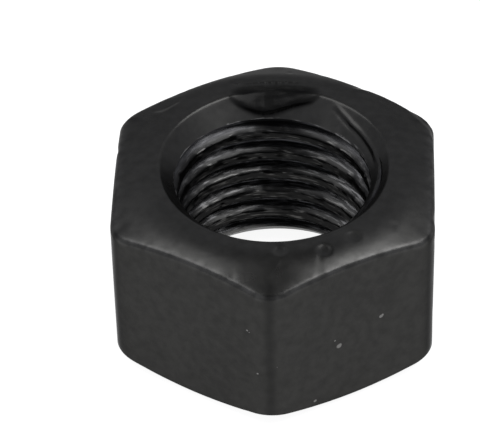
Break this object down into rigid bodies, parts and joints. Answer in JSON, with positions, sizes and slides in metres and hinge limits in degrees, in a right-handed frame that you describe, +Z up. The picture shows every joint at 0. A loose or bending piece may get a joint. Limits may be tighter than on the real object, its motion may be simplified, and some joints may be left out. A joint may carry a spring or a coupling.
{
  "type": "hexagon nut",
  "caption": "Plain hexagon nut with a coarse metric right-hand thread, countersunk at both ends, chamfered and rounded corners, dark oxide finish.",
  "frame": {"origin": "centre of the lower bearing face, on the thread axis", "axes": "+Z up the thread axis from the bearing face to the crown face; +X through the middle of one flat; +Y through one corner"},
  "size_m": [0.024, 0.027, 0.0142],
  "materials": {
    "black_oxide_steel": "satin"
  },
  "bodies": {
    "root": {"nut_body": "black_oxide_steel"}
  },
  "joints": []
}
